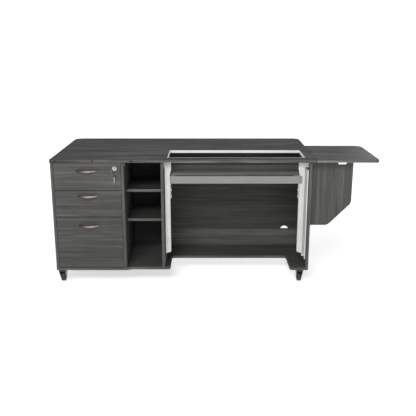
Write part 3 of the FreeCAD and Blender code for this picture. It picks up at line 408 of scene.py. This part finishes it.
# outlines as (radius, height) in mm
PLUG_PROFILE = [(5.2, 0.0), (5.2, 0.5), (4.9, 0.9), (4.0, 1.0), (1.2, 0.7), (0.5, 0.6)]
SCREW_PROFILE = [(4.0, 0.0), (4.0, 0.3), (3.5, 0.8), (2.2, 1.1), (1.3, 1.15), (1.0, 0.6), (0.4, 0.6)]
BOSS_PROFILE = [(5.5, 0.0), (5.5, 2.6), (4.8, 3.4), (3.0, 3.6), (2.4, 2.4), (0.6, 2.4)]
# half a caster wheel, from its bore out to the middle of its tread: (radius, distance from the middle)
WHEEL_PROFILE = [(4.2, 11.0), (9.0, 11.0), (10.0, 9.5), (22.0, 9.5), (24.0, 11.9), (27.0, 12.5),
                 (29.4, 11.3), (30.6, 9.1), (31.0, 6.5)]

# ---- where the turned pieces and tapes sit, in mm ---------------------------------------------------
TOP_FRONT_Y = -384
TOP_EDGE_Z = 757
PLUG_X = (-909, -696, -473)
COLUMN_FRONT_Y = -332
COLUMN_SCREW_X = (("left", -273), ("right", 513))
COLUMN_SCREW_Z = (607, 552, 331, 281)
CARRIAGE_Y = -320
CARRIAGE_BOLTS = (("left", -253, 1), ("right", 493, -1))
CARRIAGE_BOLT_Z = (575, 537)
CASTER_X = (("left", -918.0), ("right", 519.0))
CASTER_Y = (("front", -303.0), ("rear", 38.0))
WHEEL_CENTRE_Z = 31.0
TAPE_X = ((-281, -268), (508, 521))
TAPE_Y = (-329.5, -329.1)
TAPE_Z = (630, 733)
TAPE_STEPS = 24


def front_edge_plugs():
    """Small dark plugs in the top's front edge, one at each fixing."""
    for i, x in enumerate(PLUG_X):
        lathe("edge_plug_%d" % i, PLUG_PROFILE, (x, TOP_FRONT_Y, TOP_EDGE_Z), (0, -1, 0), PLUG_BLACK,
              "cabinet", SMALL_SEGMENTS)


def column_screws():
    """Pan-head screws down the front of each lift column."""
    for side, x in COLUMN_SCREW_X:
        for i, z in enumerate(COLUMN_SCREW_Z):
            lathe("column_screw_%s_%d" % (side, i), SCREW_PROFILE, (x, COLUMN_FRONT_Y, z),
                  (0, -1, 0), ZINC, "cabinet", SMALL_SEGMENTS)


def carriage_bosses():
    """The bolt heads that hold each carriage plate to its glide blocks."""
    for side, x, way in CARRIAGE_BOLTS:
        for i, z in enumerate(CARRIAGE_BOLT_Z):
            lathe("carriage_bolt_%s_%d" % (side, i), BOSS_PROFILE, (x, CARRIAGE_Y, z), (way, 0, 0),
                  LIFT_GREY, "lift", BOLT_SEGMENTS)


def caster_wheels():
    """A moulded wheel with rounded tread shoulders and a dished hub on each side."""
    profile = [(radius, -height) for radius, height in WHEEL_PROFILE] + WHEEL_PROFILE[::-1]
    for name, x in CASTER_X:
        for end, y in CASTER_Y:
            body = "%s_%s_caster_wheel" % (end, name)
            wheel = lathe(body + "_moulding", profile, (x, y, WHEEL_CENTRE_Z), (1, 0, 0), TREAD, body,
                          WHEEL_SEGMENTS)
            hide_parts(body)


def tension_tapes():
    """The two steel tapes that hang the lift, on the real cabinet fixed to the columns at the top and
    moving with the lift at the bottom.
    Here they are one still mesh, not tied to the lift, so they keep one length."""
    low, high = (z / 1000 for z in TAPE_Z)
    front, back = (y / 1000 for y in TAPE_Y)
    form = bmesh.new()
    for side in TAPE_X:
        left, right = (x / 1000 for x in side)
        rows = []
        for i in range(TAPE_STEPS + 1):
            z = low + (high - low) * i / TAPE_STEPS
            corners = ((left, front), (right, front), (right, back), (left, back))
            rows.append([form.verts.new((x, y, z)) for x, y in corners])
        for under, over in zip(rows, rows[1:]):
            for i in range(4):
                j = (i + 1) % 4
                form.faces.new((under[i], under[j], over[j], over[i]))
        form.faces.new(list(reversed(rows[0])))
        form.faces.new(rows[-1])
    mesh = bpy.data.meshes.new("tension_tapes")
    form.to_mesh(mesh)
    form.free()
    mesh.materials.append(RING_STEEL)
    tapes = bpy.data.objects.new("tension_tapes", mesh)
    bpy.context.scene.collection.objects.link(tapes)
    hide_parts("spring_tapes")
    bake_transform(tapes)


front_edge_plugs()
tension_tapes()
column_screws()
carriage_bosses()
caster_wheels()


# ---- stage: floor, light, camera ----------------------------------------------------------------
FLOOR_NEAR = -7.0
FLOOR_FAR = 7.0
FLOOR_HALF = 12.0
BACKDROP_BEND = 3.0
BACKDROP_STEPS = 12
BACKDROP_TOP = 6.0


def floor():
    """A pale floor that curves up into a backdrop far behind the object."""
    profile = [(FLOOR_NEAR, 0.0), (FLOOR_FAR, 0.0)]
    for i in range(1, BACKDROP_STEPS + 1):
        angle = math.pi / 2 * i / BACKDROP_STEPS
        spot = (FLOOR_FAR + BACKDROP_BEND * math.sin(angle), BACKDROP_BEND * (1 - math.cos(angle)))
        profile.append(spot)
    profile.append((FLOOR_FAR + BACKDROP_BEND, BACKDROP_TOP))
    form = bmesh.new()
    rows = [[form.verts.new((side * FLOOR_HALF, y, z)) for side in (-1, 1)] for y, z in profile]
    for low, up in zip(rows, rows[1:]):
        form.faces.new((low[0], low[1], up[1], up[0])).smooth = True
    mesh = bpy.data.meshes.new("floor")
    form.to_mesh(mesh)
    form.free()
    thing = bpy.data.objects.new("floor", mesh)
    bpy.context.scene.collection.objects.link(thing)
    tree = Tree("floor")
    cloud = tree.noise(tree.place((1, 1, 1)), 3.0, 2, 0.5)
    tree.link(tree.ramp(cloud, [(0.3, 0.93), (0.7, 0.95)]), tree.shader.inputs["Base Color"])
    tree.value("Roughness", 0.9)
    tree.value("Specular IOR Level", 0.0)
    tree.value("Emission Color", (1, 1, 1, 1))
    away = tree.add("ShaderNodeVectorMath", operation="LENGTH")
    tree.link(tree.place((1 / GLOW_REACH, 1 / GLOW_REACH, 1 / GLOW_REACH)), away.inputs[0])
    glow = tree.ramp(away.outputs["Value"], [(0.25, NEAR_GLOW), (0.7, FAR_GLOW)])
    tree.link(glow, tree.shader.inputs["Emission Strength"])
    mesh.materials.append(tree.material)


def softbox(name, place, aim, width, height, power):
    """A soft rectangular light that the camera does not see."""
    light = bpy.data.lights.new(name, "AREA")
    light.shape = "RECTANGLE"
    light.size = width
    light.size_y = height
    light.energy = power
    thing = bpy.data.objects.new(name, light)
    thing.location = place
    thing.rotation_euler = (Vector(aim) - Vector(place)).to_track_quat("-Z", "Y").to_euler()
    thing.visible_camera = False
    bpy.context.scene.collection.objects.link(thing)


def studio():
    """White where the camera looks past the floor, WORLD_LIGHT for everything the world lights."""
    scene = bpy.context.scene
    world = bpy.data.worlds.new("studio")
    world.use_nodes = True
    sky = world.node_tree.nodes
    wires = world.node_tree.links
    seen = sky.new("ShaderNodeLightPath")
    strength = sky.new("ShaderNodeMapRange")
    strength.inputs["To Min"].default_value = WORLD_LIGHT
    strength.inputs["To Max"].default_value = 1.0
    wires.new(seen.outputs["Is Camera Ray"], strength.inputs["Value"])
    wires.new(strength.outputs["Result"], sky["Background"].inputs["Strength"])
    sky["Background"].inputs["Color"].default_value = (1, 1, 1, 1)
    scene.world = world
    scene.view_settings.view_transform = "Standard"
    for settings in SOFTBOXES:
        softbox(*settings)


def camera():
    """The camera stands in front of the object and looks down on it a little."""
    lens = bpy.data.cameras.new("camera")
    lens.lens = CAMERA_LENS
    lens.sensor_width = CAMERA_SENSOR
    thing = bpy.data.objects.new("camera", lens)
    thing.location = CAMERA_PLACE
    thing.rotation_euler = (CAMERA_TILT, 0, 0)
    bpy.context.scene.collection.objects.link(thing)
    bpy.context.scene.camera = thing


floor()
studio()
camera()
